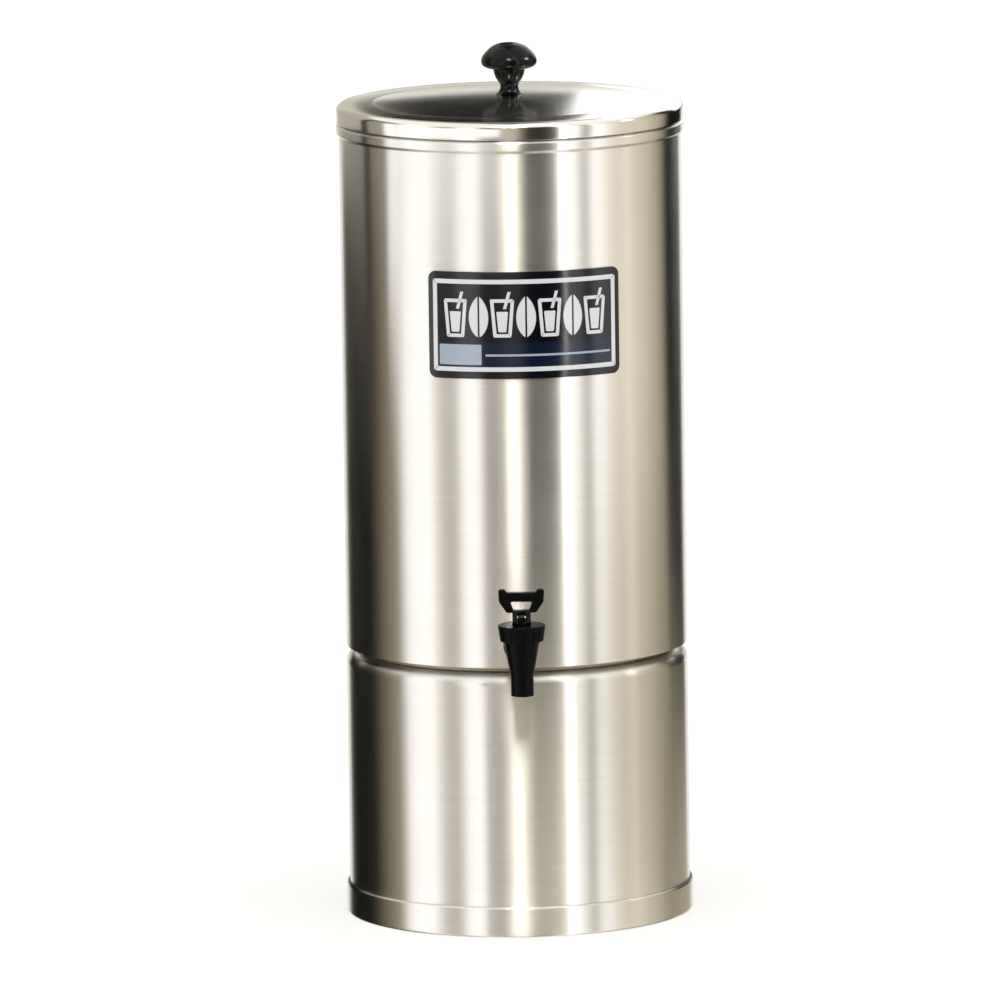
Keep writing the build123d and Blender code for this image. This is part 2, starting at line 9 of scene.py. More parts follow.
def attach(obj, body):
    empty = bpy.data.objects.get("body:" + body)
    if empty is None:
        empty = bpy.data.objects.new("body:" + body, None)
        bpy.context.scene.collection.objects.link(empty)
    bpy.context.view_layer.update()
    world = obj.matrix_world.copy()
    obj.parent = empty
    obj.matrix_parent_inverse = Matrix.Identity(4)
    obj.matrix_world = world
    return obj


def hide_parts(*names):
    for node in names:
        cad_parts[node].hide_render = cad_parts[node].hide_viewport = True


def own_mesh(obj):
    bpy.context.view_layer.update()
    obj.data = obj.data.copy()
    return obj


# The iced tea dispenser dressed for the eye: brushed steel tank and base, spun lid, phenolic knob,
# printed enamel plate and moulded faucet, in a plain studio. Metres, the frame of the CAD model:
# the front faces -Y and the axis of the tank is Z.
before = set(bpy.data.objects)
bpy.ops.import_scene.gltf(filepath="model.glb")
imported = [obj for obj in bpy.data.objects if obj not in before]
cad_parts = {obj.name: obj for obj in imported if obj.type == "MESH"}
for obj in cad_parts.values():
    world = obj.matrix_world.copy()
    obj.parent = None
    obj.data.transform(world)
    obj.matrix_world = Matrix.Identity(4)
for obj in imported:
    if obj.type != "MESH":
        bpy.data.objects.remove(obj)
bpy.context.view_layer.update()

MM = 0.001
TINY = 1e-6
ROUND_STEPS = 288
# Width in mm of the flat strips that stand for a curve when flat work is rolled on the tank
STRIP_WIDTH = 2.5

# Sizes in mm, as in the CAD model
TANK_RADIUS = 130.0
SHEET = 1.0
LID_RADIUS = 132.0
LID_RIM_Z = 621.0
LID_EDGE_RADIUS = 6.0
SKIRT_BOTTOM_Z = 607.0
DOME_RADIUS = 104.0
DOME_RISE = 5.0
PLATE_LENGTH = 152.0
PLATE_HEIGHT = 81.0
PLATE_THICKNESS = 0.8
PLATE_CORNER_RADIUS = 6.0
PLATE_CENTRE_Z = 467.0
PLATE_TURN = math.radians(3.3)
PLATE_GAP = 0.3
PLATE_BACK = TANK_RADIUS + PLATE_GAP
FAUCET_Y = -172.0
PIN_Z = 251.3
CUP_BOTTOM_Z = 216.0
CUP_BASE_TOP_Z = 221.0
BONNET_CEILING_Z = 244.1
SPRING_RADIUS = 5.5
SPRING_WIRE = 1.0
SPRING_TURNS = 5
SPRING_END_GAP = 0.3
# Thickness of one layer of ink on the plate
INK = 0.05
# Lower and upper ends of the welds at the back
TANK_WELD = (209.0, 595.0)
BASE_WELD = (24.5, 196.0)

# Noise seldom leaves this range, so it is stretched to the full range of what it drives
NOISE_LOW, NOISE_HIGH = 0.3, 0.7
# Size in mm of the smudges on steel, and how far they change its roughness: more than that shows
# as cracks in a reflection drawn out along the wall
SMUDGE_SIZE = 45.0
SMUDGE_SPREAD = 0.06
SCRATCH_STRENGTH = 0.25
SCRATCH_DEPTH = 0.004
# Turn of the anisotropy that spreads light up and down a wall whose grain runs round it
QUARTER_TURN = 0.25
# Size in mm of the shine marks on moulded and coated things, and how far they change the roughness
MARK_SIZE = 14.0
MARK_SPREAD = 0.2
PITTING_STRENGTH = 0.5


def linear(hex_colour):
    """sRGB hex such as "d8d5cf" as linear RGBA."""
    channels = [int(hex_colour[i : i + 2], 16) / 255 for i in (0, 2, 4)]
    curve = [c / 12.92 if c <= 0.04045 else ((c + 0.055) / 1.055) ** 2.4 for c in channels]
    return (*curve, 1.0)


def add(tree, kind, settings, inputs):
    """A new node of that kind with its settings by name.

    Its inputs go by name or number and are constants or sockets."""
    node = tree.nodes.new(kind)
    for name, value in settings.items():
        setattr(node, name, value)
    for key, value in inputs.items():
        if isinstance(value, bpy.types.NodeSocket):
            tree.links.new(value, node.inputs[key])
        else:
            node.inputs[key].default_value = value
    return node


def new_material(name):
    """An empty material and its node tree."""
    material = bpy.data.materials.new(name)
    material.use_nodes = True
    material.node_tree.nodes.clear()
    return material, material.node_tree


def finish_material(tree, inputs):
    """Ends a material with one Principled shader with these inputs."""
    shader = add(tree, "ShaderNodeBsdfPrincipled", {}, inputs)
    add(tree, "ShaderNodeOutputMaterial", {}, {"Surface": shader.outputs["BSDF"]})


def brushed_steel(name, colour, worn, roughness, anisotropy, grain, wave, spun=False):
    """Stainless steel sheet, brushed along its grain or spun in rings.

    The grain spreads each lamp across itself and leaves it sharp along itself, so a tank shows
    upright streaks and a lid shows rays. grain is (length, width) of its scratches in mm: real ones
    are a tenth of a millimetre wide or less, too fine to show here, so they are drawn as coarse as
    they need to show. wave is (length, depth) in mm of the slow unevenness of rolled sheet, which
    bends the streaks a little."""
    material, tree = new_material(name)
    place = add(tree, "ShaderNodeTexCoord", {}, {}).outputs["Object"]
    length, width = 1 / (grain[0] * MM), 1 / (grain[1] * MM)
    if spun:
        apart = add(tree, "ShaderNodeSeparateXYZ", {}, {0: place})
        flat = add(tree, "ShaderNodeCombineXYZ", {}, {0: apart.outputs["X"], 1: apart.outputs["Y"]})
        ring = add(tree, "ShaderNodeVectorMath", {"operation": "LENGTH"}, {0: flat.outputs[0]})
        scaled = add(
            tree,
            "ShaderNodeVectorMath",
            {"operation": "SCALE"},
            {0: flat.outputs[0], "Scale": length},
        )
        across = add(
            tree, "ShaderNodeMath", {"operation": "MULTIPLY"}, {0: ring.outputs["Value"], 1: width}
        )
        parts = add(tree, "ShaderNodeSeparateXYZ", {}, {0: scaled.outputs[0]})
        run = add(
            tree,
            "ShaderNodeCombineXYZ",
            {},
            {0: parts.outputs["X"], 1: parts.outputs["Y"], 2: across.outputs[0]},
        ).outputs[0]
    else:
        run = add(
            tree, "ShaderNodeMapping", {}, {"Vector": place, "Scale": (length, length, width)}
        ).outputs[0]
    scratches = add(
        tree,
        "ShaderNodeTexNoise",
        {},
        {"Vector": run, "Scale": 1.0, "Detail": 2.0, "Roughness": 0.5},
    ).outputs[0]
    sway = add(
        tree,
        "ShaderNodeTexNoise",
        {},
        {"Vector": place, "Scale": 1 / (wave[0] * MM), "Detail": 1.0},
    ).outputs[0]
    smudges = add(
        tree,
        "ShaderNodeTexNoise",
        {},
        {"Vector": place, "Scale": 1 / (SMUDGE_SIZE * MM), "Detail": 5.0, "Roughness": 0.6},
    ).outputs[0]
    uneven = add(
        tree, "ShaderNodeBump", {}, {"Strength": 1.0, "Distance": wave[1] * MM, "Height": sway}
    )
    fine = add(
        tree,
        "ShaderNodeBump",
        {},
        {
            "Strength": SCRATCH_STRENGTH,
            "Distance": SCRATCH_DEPTH * MM,
            "Height": scratches,
            "Normal": uneven.outputs[0],
        },
    )
    rough = add(
        tree,
        "ShaderNodeMapRange",
        {},
        {
            "Value": smudges,
            1: NOISE_LOW,
            2: NOISE_HIGH,
            3: roughness * (1 - SMUDGE_SPREAD),
            4: roughness * (1 + SMUDGE_SPREAD),
        },
    )
    tone = add(
        tree,
        "ShaderNodeMapRange",
        {},
        {"Value": scratches, 1: NOISE_LOW, 2: NOISE_HIGH, 3: 0.0, 4: 1.0},
    )
    tint = add(
        tree,
        "ShaderNodeMix",
        {"data_type": "RGBA"},
        {"Factor": tone.outputs[0], "A": linear(worn), "B": linear(colour)},
    )
    tangent = add(tree, "ShaderNodeTangent", {"direction_type": "RADIAL", "axis": "Z"}, {})
    finish_material(
        tree,
        {
            "Base Color": tint.outputs["Result"],
            "Metallic": 1.0,
            "Roughness": rough.outputs[0],
            "Anisotropic": anisotropy,
            "Anisotropic Rotation": QUARTER_TURN,
            "Tangent": tangent.outputs[0],
            "Normal": fine.outputs[0],
        },
    )
    return material


def moulded(name, colour, second, roughness, ior, grain, depth, gleam=0.5, metallic=0.0):
    """A moulded, turned or coated surface: pitting, slow shine marks and a slight change of tone.

    grain and depth are the width and depth of the pitting in mm. Most of it is really some
    hundredths of a millimetre wide, too fine to show here, so it is drawn as coarse as it needs to
    show."""
    material, tree = new_material(name)
    place = add(tree, "ShaderNodeTexCoord", {}, {}).outputs["Object"]
    pits = add(
        tree,
        "ShaderNodeTexNoise",
        {},
        {"Vector": place, "Scale": 1 / (grain * MM), "Detail": 3.0, "Roughness": 0.55},
    ).outputs[0]
    marks = add(
        tree,
        "ShaderNodeTexNoise",
        {},
        {"Vector": place, "Scale": 1 / (MARK_SIZE * MM), "Detail": 4.0, "Roughness": 0.6},
    ).outputs[0]
    skin = add(
        tree,
        "ShaderNodeBump",
        {},
        {"Strength": PITTING_STRENGTH, "Distance": depth * MM, "Height": pits},
    )
    shine = add(
        tree,
        "ShaderNodeMapRange",
        {},
        {
            "Value": marks,
            1: NOISE_LOW,
            2: NOISE_HIGH,
            3: roughness * (1 - MARK_SPREAD),
            4: roughness * (1 + MARK_SPREAD),
        },
    )
    tint = add(
        tree,
        "ShaderNodeMix",
        {"data_type": "RGBA"},
        {"Factor": marks, "A": linear(colour), "B": linear(second)},
    )
    finish_material(
        tree,
        {
            "Base Color": tint.outputs["Result"],
            "Metallic": metallic,
            "Roughness": shine.outputs[0],
            "IOR": ior,
            "Specular IOR Level": gleam,
            "Normal": skin.outputs[0],
        },
    )
    return material


# Stainless steel 304, No. 4 finish, the grain round the tank: upright streaks with soft ends. Its
# scratches are under 0.1 mm wide and are drawn 0.8 mm wide, to show as a faint grain
tank_steel = brushed_steel(
    "brushed_steel_wall", "e0ddd8", "dad7d1", 0.295, 1.0, (90, 0.8), (140, 0.12)
)
# The same sheet spun to a lid: rings of grain, drawn 0.9 mm wide, and light that lies on it in rays
lid_steel = brushed_steel(
    "spun_steel_lid", "dcd9d3", "d4d1cb", 0.16, 0.3, (90, 0.9), (110, 0.04), spun=True
)
# Mill-finished steel channel in the seam, duller and browner than the walls
seam_steel = brushed_steel("mill_steel_ring", "aaa390", "9a937f", 0.5, 0.3, (40, 1.0), (90, 0.05))
# The ground weld at the back: the grain is lost in it, so it stands as a dull line
weld_steel = brushed_steel("ground_weld", "c6c3bd", "b3b0a9", 0.38, 0.2, (5, 2.5), (9, 0.06))
# Compression moulded phenolic: deep glossy black with a faint orange peel of its real 5 mm
knob_phenolic = moulded("phenolic_knob", "040505", "080908", 0.2, 1.6, 5.0, 0.02, gleam=0.12)
# Injection moulded polypropylene: black and satin from the spark-eroded mould, whose grit of about
# 0.05 mm is drawn 0.9 mm wide
faucet_polypropylene = moulded(
    "polypropylene_faucet", "030508", "05080c", 0.3, 1.49, 0.9, 0.03, gleam=0.09
)
# Moulded nylon of the handle, stem, nut and washer, a little glossier from the hand
handle_nylon = moulded("nylon_handle", "030405", "060708", 0.27, 1.53, 1.1, 0.02, gleam=0.09)
stem_nylon = moulded("nylon_stem", "060709", "0a0b0d", 0.38, 1.53, 0.8, 0.03, gleam=0.12)
# Translucent white silicone: milky and soft to the light
cup_silicone = moulded("silicone_cup", "d9d7ce", "e4e2da", 0.45, 1.41, 1.5, 0.03)
# Black nitrile rubber: matt, slightly grey
gasket_rubber = moulded("nitrile_gasket", "171717", "212121", 0.65, 1.52, 0.7, 0.05)
# Turned brass of the knob's insert: warm yellow, bright from the tool
insert_brass = moulded("turned_brass", "c9a25a", "b8914a", 0.25, 1.5, 0.6, 0.01, metallic=1.0)
# Stainless steel of the screw, washer and pin: plain, a little dulled by pickling
fastener_steel = moulded(
    "plain_steel_fastener", "bdbbb7", "a9a7a3", 0.28, 1.5, 0.7, 0.01, metallic=1.0
)
# Drawn stainless spring wire: bright and slightly grey
spring_wire = moulded(
    "drawn_spring_wire", "b5b4b0", "a3a19d", 0.22, 1.5, 0.5, 0.008, metallic=1.0
)
# Baked enamel on aluminium: blue-black, smooth and glossy, so that lamps stand in it as thin lines
plate_enamel = moulded("baked_enamel_plate", "090b14", "0c0f1a", 0.12, 1.5, 3.0, 0.006)
# Screen-printed enamel inks on the plate: flat colour, a little duller than the plate
navy_ink = moulded("navy_enamel_band", "0b1730", "0e1c38", 0.14, 1.5, 3.0, 0.006)
white_ink = moulded("white_enamel_print", "e9e9ea", "f2f2f2", 0.2, 1.5, 0.8, 0.01)
pale_ink = moulded("pale_blue_print", "a9b7c6", "b9c5d2", 0.2, 1.5, 0.8, 0.01)

node_materials = {
    "base_shell": tank_steel,
    "base_band": tank_steel,
    "tank_foot_ring": seam_steel,
    "tank_shell": tank_steel,
    # Pressed on a former, with rings of grain like the lid
    "tank_floor": lid_steel,
    "knob_insert": insert_brass,
    "knob_washer": fastener_steel,
    "knob_screw": fastener_steel,
    "faucet_body": faucet_polypropylene,
    "faucet_bonnet": faucet_polypropylene,
    "faucet_stem": stem_nylon,
    "faucet_handle": handle_nylon,
    "handle_pin": fastener_steel,
    "shank_gasket_outer": gasket_rubber,
    "shank_gasket_inner": gasket_rubber,
    "shank_washer": stem_nylon,
    "shank_lock_nut": stem_nylon,
}
for node_name, node_material in node_materials.items():
    for node_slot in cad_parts[node_name].material_slots:
        node_slot.material = node_material


def mesh_object(name, mesh, material):
    """A finished bmesh as an object of the scene, with one material."""
    data = bpy.data.meshes.new(name)
    mesh.to_mesh(data)
    mesh.free()
    data.materials.append(material)
    made = bpy.data.objects.new(name, data)
    bpy.context.collection.objects.link(made)
    return made


def place_piece(name, mesh, material, body, replaced=(), sharp=30.0):
    """Turns a finished bmesh into a piece that rides on a body and stands for what it replaces.

    Edges that turn by more than sharp degrees stay sharp."""
    piece = mesh_object(name, mesh, material)
    piece.data.shade_smooth()
    piece.data.set_sharp_from_angle(angle=math.radians(sharp))
    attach(piece, body)
    if replaced:
        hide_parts(*replaced)
    return piece


def section(corners):
    """A face in the XZ plane from corners of (radius, height, rounding) in mm."""
    mesh = bmesh.new()
    verts = [mesh.verts.new((radius * MM, 0, height * MM)) for radius, height, _ in corners]
    mesh.faces.new(verts)
    for vert, (_, _, rounding) in zip(verts, corners):
        if rounding:
            arms = [edge.other_vert(vert).co - vert.co for edge in vert.link_edges]
            offset = rounding * MM / math.tan(arms[0].angle(arms[1]) / 2)
            bmesh.ops.bevel(
                mesh,
                geom=[vert],
                offset=offset,
                segments=8,
                profile=0.5,
                affect="VERTICES",
                material=-1,
            )
    return mesh


def spin_round(mesh):
    """Spins the outline of a section about the Z axis, closed all round and at the axis."""
    bmesh.ops.delete(mesh, geom=mesh.faces[:], context="FACES_ONLY")
    on_axis = [edge for edge in mesh.edges if max(vert.co.xy.length for vert in edge.verts) < TINY]
    bmesh.ops.delete(mesh, geom=on_axis, context="EDGES")
    outline = mesh.verts[:] + mesh.edges[:]
    bmesh.ops.spin(
        mesh,
        geom=outline,
        cent=(0, 0, 0),
        axis=(0, 0, 1),
        angle=2 * math.pi,
        steps=ROUND_STEPS,
        use_merge=True,
    )
    bmesh.ops.remove_doubles(mesh, verts=mesh.verts, dist=TINY)
    bmesh.ops.recalc_face_normals(mesh, faces=mesh.faces)


def dome_height(radius):
    """Height of the lid's dome above its edge at that radius, in mm."""
    sphere = (DOME_RADIUS**2 + DOME_RISE**2) / (2 * DOME_RISE)
    return math.sqrt(sphere**2 - radius**2) - (sphere - DOME_RISE)


def make_lid():
    """Spun lid: straight skirt, rounded edge, rim that falls a little outwards, shallow dome."""
    rim_fall, hole = 0.8, 2.3
    lip_rounding, edge_rounding, dome_rounding = 0.45, LID_EDGE_RADIUS - 0.5, 3.0
    # Only the two lines of the dome are longer than this, and they are cut to follow its curve
    dome_line_least, dome_cuts = 80.0, 28
    edge_z = LID_RIM_Z - rim_fall
    mesh = section(
        [
            (LID_RADIUS, SKIRT_BOTTOM_Z, lip_rounding),
            (LID_RADIUS, edge_z, edge_rounding),
            (DOME_RADIUS, LID_RIM_Z, dome_rounding),
            (hole, LID_RIM_Z, 0),
            (hole, LID_RIM_Z - SHEET, 0),
            (DOME_RADIUS, LID_RIM_Z - SHEET, dome_rounding),
            (LID_RADIUS - SHEET, edge_z - SHEET, edge_rounding - SHEET),
            (LID_RADIUS - SHEET, SKIRT_BOTTOM_Z, lip_rounding),
        ]
    )
    bmesh.ops.delete(mesh, geom=mesh.faces[:], context="FACES_ONLY")
    dome_lines = [edge for edge in mesh.edges if edge.calc_length() > dome_line_least * MM]
    bmesh.ops.subdivide_edges(mesh, edges=dome_lines, cuts=dome_cuts)
    for vert in mesh.verts:
        radius = vert.co.x / MM
        if radius < DOME_RADIUS:
            vert.co.z += dome_height(radius) * MM
    spin_round(mesh)
    place_piece("spun_lid", mesh, lid_steel, "lid", ("lid_cover",), sharp=40.0)


def make_knob():
    """Mushroom knob: crowned head with a rolled edge, waisted neck and flared foot."""
    foot_z, insert_radius, insert_top_z = 626.05, 4.05, 639.05
    points_per_run = 14
    # Each run is one Bezier curve of (radius, height): start, two handles and end
    runs = [
        ((0, 665.5), (8.5, 665.5), (12.6, 663.2), (15.0, 660.9)),
        ((15.0, 660.9), (18.6, 657.6), (21.2, 655.0), (21.2, 651.0)),
        ((21.2, 651.0), (21.2, 647.0), (16.6, 645.9), (12.0, 645.5)),
        ((12.0, 645.5), (11.9, 642.0), (10.6, 638.5), (8.2, 635.5)),
        ((8.2, 635.5), (7.3, 634.2), (6.8, 633.4), (6.8, 632.4)),
        ((6.8, 632.4), (6.8, 629.6), (8.4, 627.2), (10.5, foot_z)),
    ]
    mesh = bmesh.new()
    points = []
    for run in runs:
        knots = [Vector((x * MM, 0, z * MM)) for x, z in run]
        curve = interpolate_bezier(*knots, points_per_run)
        points.extend(curve if not points else curve[1:])
    verts = [mesh.verts.new(point) for point in points]
    verts.append(mesh.verts.new((insert_radius * MM, 0, foot_z * MM)))
    verts.append(mesh.verts.new((insert_radius * MM, 0, insert_top_z * MM)))
    verts.append(mesh.verts.new((0, 0, insert_top_z * MM)))
    mesh.faces.new(verts)
    spin_round(mesh)
    place_piece(
        "turned_knob", mesh, knob_phenolic, "lid", ("lid_knob",), sharp=50.0
    )


def plate_face(corners, rounding):
    """A flat face in the XZ plane from corners in mm about its middle, with rounded corners."""
    mesh = bmesh.new()
    verts = [mesh.verts.new((x * MM, 0, z * MM)) for x, z in corners]
    mesh.faces.new(verts)
    if rounding:
        bmesh.ops.bevel(
            mesh,
            geom=verts,
            offset=rounding * MM,
            segments=8,
            profile=0.5,
            affect="VERTICES",
            material=-1,
        )
    return mesh


def roll_on_wall(mesh, inner, thickness, turn, middle_z, softened=0.0):
    """Cuts flat work into strips, gives it its thickness and rolls it on a round wall.

    inner is the radius of its back, turn its place round the axis from the front, middle_z its
    height and softened the bevel of its front edges."""
    # The edges round the front turn by a right angle, those between two strips not at all
    rim_turn = 1.0
    low = min(vert.co.x for vert in mesh.verts)
    high = max(vert.co.x for vert in mesh.verts)
    strips = max(2, math.ceil((high - low) / (STRIP_WIDTH * MM)))
    for i in range(1, strips):
        cut = (low + (high - low) * i / strips, 0, 0)
        geometry = mesh.verts[:] + mesh.edges[:] + mesh.faces[:]
        bmesh.ops.bisect_plane(mesh, geom=geometry, dist=TINY, plane_co=cut, plane_no=(1, 0, 0))
    raised = bmesh.ops.extrude_face_region(mesh, geom=mesh.faces[:])["geom"]
    for vert in raised:
        if isinstance(vert, bmesh.types.BMVert):
            vert.co.y += thickness * MM
    bmesh.ops.recalc_face_normals(mesh, faces=mesh.faces)
    if softened:
        front = thickness * MM - TINY
        rim = [
            edge
            for edge in mesh.edges
            if min(vert.co.y for vert in edge.verts) > front and edge.calc_face_angle() > rim_turn
        ]
        bmesh.ops.bevel(
            mesh,
            geom=rim,
            offset=softened * MM,
            segments=3,
            profile=0.5,
            affect="EDGES",
            material=-1,
        )
    for vert in mesh.verts:
        around = vert.co.x / ((PLATE_BACK + PLATE_THICKNESS) * MM) + turn
        reach = inner * MM + vert.co.y
        height = vert.co.z + middle_z * MM
        vert.co = (reach * math.sin(around), -reach * math.cos(around), height)
    bmesh.ops.recalc_face_normals(mesh, faces=mesh.faces)


def box_corners(left, bottom, right, top):
    """Corners of an upright rectangle."""
    return [(left, bottom), (right, bottom), (right, top), (left, top)]


def print_on_plate(name, faces, material, layer):
    """One layer of ink on the plate from flat faces of (corners, rounding, rim).

    A rim leaves only a border of that width."""
    mesh = bmesh.new()
    for corners, rounding, rim in faces:
        part = plate_face(corners, rounding)
        if rim:
            inner = bmesh.ops.inset_individual(part, faces=part.faces[:], thickness=rim * MM)
            inside = [face for face in part.faces if face not in inner["faces"]]
            bmesh.ops.delete(part, geom=inside, context="FACES")
        flat = bpy.data.meshes.new("flat")
        part.to_mesh(flat)
        part.free()
        mesh.from_mesh(flat)
        bpy.data.meshes.remove(flat)
    back = PLATE_BACK + PLATE_THICKNESS + layer * INK
    roll_on_wall(mesh, back, INK, PLATE_TURN, PLATE_CENTRE_Z)
    place_piece(name, mesh, material, "dispenser", sharp=50.0)


def tapered(middle, bottom_half, bottom, top_half, top):
    """Corners of an upright trapezium."""
    return [
        (middle - bottom_half, bottom),
        (middle + bottom_half, bottom),
        (middle + top_half, top),
        (middle - top_half, top),
    ]


def make_print():
    """A generic print: border line, dark band, tumblers between leaves, pale block, thin rule.

    Each form is (corners in mm about the plate's middle, rounding, width of its rim or 0)."""
    border = box_corners(-72.0, -35.0, 72.0, 34.8)
    print_on_plate("plate_border_line", [(border, 1.5, 3.4)], white_ink, 0)
    band = box_corners(-68.4, -31.4, 68.4, -13.0)
    print_on_plate("plate_lower_band", [(band, 0, 0)], navy_ink, 0)

    tumblers, pitch = 4, 36.0
    foot, straw_bottom, straw_top, leaf_top = -9.0, 12.5, 25.5, 22.0
    motifs = []
    for i in range(tumblers):
        middle = (i - (tumblers - 1) / 2) * pitch
        straw = [
            (middle + 0.6, straw_bottom),
            (middle + 3.0, straw_bottom),
            (middle + 6.6, straw_top),
            (middle + 4.2, straw_top),
        ]
        motifs.append((tapered(middle, 6.8, foot, 9.2, 20.0), 1.2, 2.6))
        motifs.append((tapered(middle, 3.0, -5.0, 4.4, 10.5), 0.8, 0))
        motifs.append((straw, 0, 0))
    for i in range(tumblers - 1):
        middle = (i - (tumblers - 2) / 2) * pitch
        for side in (-1, 1):
            leaf = [(0.7, leaf_top), (10.5, 13.0), (9.0, -4.0), (0.7, foot)]
            knots = [Vector((middle + side * x, z, 0)) for x, z in leaf]
            outline = interpolate_bezier(*knots, 12)
            motifs.append(([(point.x, point.y) for point in outline], 0, 0))
    print_on_plate("plate_row_of_tumblers_and_leaves", motifs, white_ink, 0)

    block = box_corners(-67.0, -30.0, -34.0, -14.5)
    print_on_plate("plate_pale_block", [(block, 1.0, 0)], pale_ink, 1)
    rule = box_corners(-31.0, -23.4, 67.0, -21.8)
    print_on_plate("plate_thin_rule", [(rule, 0, 0)], pale_ink, 1)


def make_plate():
    """Aluminium plate with rounded corners and softened front edges, rolled to the tank."""
    half_length, half_height = PLATE_LENGTH / 2, PLATE_HEIGHT / 2
    corners = box_corners(-half_length, -half_height, half_length, half_height)
    mesh = plate_face(corners, PLATE_CORNER_RADIUS)
    roll_on_wall(mesh, PLATE_BACK, PLATE_THICKNESS, PLATE_TURN, PLATE_CENTRE_Z, softened=0.25)
    place_piece(
        "enamel_plate", mesh, plate_enamel, "dispenser", ("name_plate",), sharp=50.0
    )


def make_weld_seam(name, bottom, top):
    """The upright weld at the back of a rolled shell, ground to a strip a trace proud of it."""
    half_width, thickness, sunk, pieces = 1.3, 0.07, 0.02, 40
    half = (top - bottom) / 2
    mesh = plate_face(box_corners(-half_width, -half, half_width, half), 0)
    for i in range(1, pieces):
        cut = (0, 0, half * MM * (2 * i / pieces - 1))
        geometry = mesh.verts[:] + mesh.edges[:] + mesh.faces[:]
        bmesh.ops.bisect_plane(mesh, geom=geometry, dist=TINY, plane_co=cut, plane_no=(0, 0, 1))
    roll_on_wall(mesh, TANK_RADIUS - sunk, thickness, math.pi, (top + bottom) / 2)
    place_piece(name, mesh, weld_steel, "dispenser", sharp=50.0)


def shorten(piece):
    """Gives a soft piece that rides on the stem a mesh of its own."""
    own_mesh(piece)


def make_silicone_cup():
    """Seat cup: coned plug, hollow for the stem's foot, thin skirt, flange under the bonnet."""
    plug_bottom, plug_top, skirt_inner, flange = 6.69, 8.87, 7.78, 12.7
    flange_bottom_z, foot_top_z, foot_bottom_z = 242.9, 219.85, 217.75
    foot, rod, plug_rounding = 4.55, 3.05, 0.3
    mesh = section(
        [
            (0, CUP_BOTTOM_Z, 0),
            (plug_bottom, CUP_BOTTOM_Z, plug_rounding),
            (plug_top, CUP_BASE_TOP_Z, 0),
            (plug_top, flange_bottom_z, 0),
            (flange, flange_bottom_z, 0),
            (flange, BONNET_CEILING_Z, 0),
            (skirt_inner, BONNET_CEILING_Z, 0),
            (skirt_inner, CUP_BASE_TOP_Z, 0),
            (rod, CUP_BASE_TOP_Z, 0),
            (rod, foot_top_z, 0),
            (foot, foot_top_z, 0),
            (foot, foot_bottom_z, 0),
            (0, foot_bottom_z, 0),
        ]
    )
    spin_round(mesh)
    bmesh.ops.translate(mesh, vec=(0, FAUCET_Y * MM, 0), verts=mesh.verts)
    cup = place_piece(
        "silicone_seat_cup", mesh, cup_silicone, "stem", ("seat_cup",)
    )
    shorten(cup)


def make_spring():
    """Return spring: one round wire wound from the plug of the cup up to the bonnet."""
    per_turn, sides = 48, 12
    margin = SPRING_END_GAP + SPRING_WIRE / 2
    bottom, top = CUP_BASE_TOP_Z + margin, BONNET_CEILING_Z - margin
    climb = (top - bottom) / (2 * math.pi * SPRING_TURNS)
    mesh = bmesh.new()
    rings = []
    for i in range(per_turn * SPRING_TURNS + 1):
        turned = 2 * math.pi * i / per_turn
        outward = Vector((math.cos(turned), math.sin(turned), 0))
        along = Vector((-SPRING_RADIUS * outward.y, SPRING_RADIUS * outward.x, climb)).normalized()
        middle = outward * SPRING_RADIUS + Vector((0, FAUCET_Y, bottom + climb * turned))
        ring = []
        for side in range(sides):
            spoke = Quaternion(along, 2 * math.pi * side / sides) @ outward
            ring.append(mesh.verts.new((middle + spoke * SPRING_WIRE / 2) * MM))
        rings.append(ring)
    for lower, upper in zip(rings, rings[1:]):
        for side in range(sides):
            beyond = (side + 1) % sides
            mesh.faces.new((lower[side], lower[beyond], upper[beyond], upper[side]))
    mesh.faces.new(rings[0])
    mesh.faces.new(rings[-1])
    bmesh.ops.recalc_face_normals(mesh, faces=mesh.faces)
    spring = place_piece(
        "wound_return_spring",
        mesh,
        spring_wire,
        "stem",
        ("return_spring",),
        sharp=50.0,
    )
    shorten(spring)


def make_hub_web():
    """Thin web that closes the back of the fork, clear of the stem's head as the handle tilts.

    Its back is flat up to the pin and bends forward above it, like the hub. back is its distance
    behind the pin, bend the radius of the bent part and bend_centre the centre's distance."""
    half_width, thickness = 3.5, 0.8
    back, bend, bend_centre = 5.35, 7.34, -1.99
    heights = [-4.7, 0.0, 1.0, 2.0, 3.0, 4.0, 5.0]
    outer = []
    for height in heights:
        y = back if height <= 0 else bend_centre + math.sqrt(bend**2 - height**2)
        outer.append((y, PIN_Z + height))
    inner = [(y - thickness, z) for y, z in reversed(outer)]
    mesh = bmesh.new()
    verts = []
    for y, z in outer + inner:
        verts.append(mesh.verts.new((-half_width * MM, (FAUCET_Y + y) * MM, z * MM)))
    side = mesh.faces.new(verts)
    raised = bmesh.ops.extrude_face_region(mesh, geom=[side])["geom"]
    across = [vert for vert in raised if isinstance(vert, bmesh.types.BMVert)]
    bmesh.ops.translate(mesh, vec=(2 * half_width * MM, 0, 0), verts=across)
    bmesh.ops.recalc_face_normals(mesh, faces=mesh.faces)
    place_piece("hub_back_web", mesh, handle_nylon, "handle")


make_lid()
make_knob()
make_plate()
make_hub_web()
make_silicone_cup()
make_spring()
make_weld_seam("tank_weld_seam", *TANK_WELD)
make_weld_seam("base_weld_seam", *BASE_WELD)
make_print()


# The studio. Half the side of the floor in metres:
FLOOR_HALF_SIDE = 60.0
# Light that only the camera sees on the floor, so that it is as white as the background
FLOOR_GLOW = 0.3

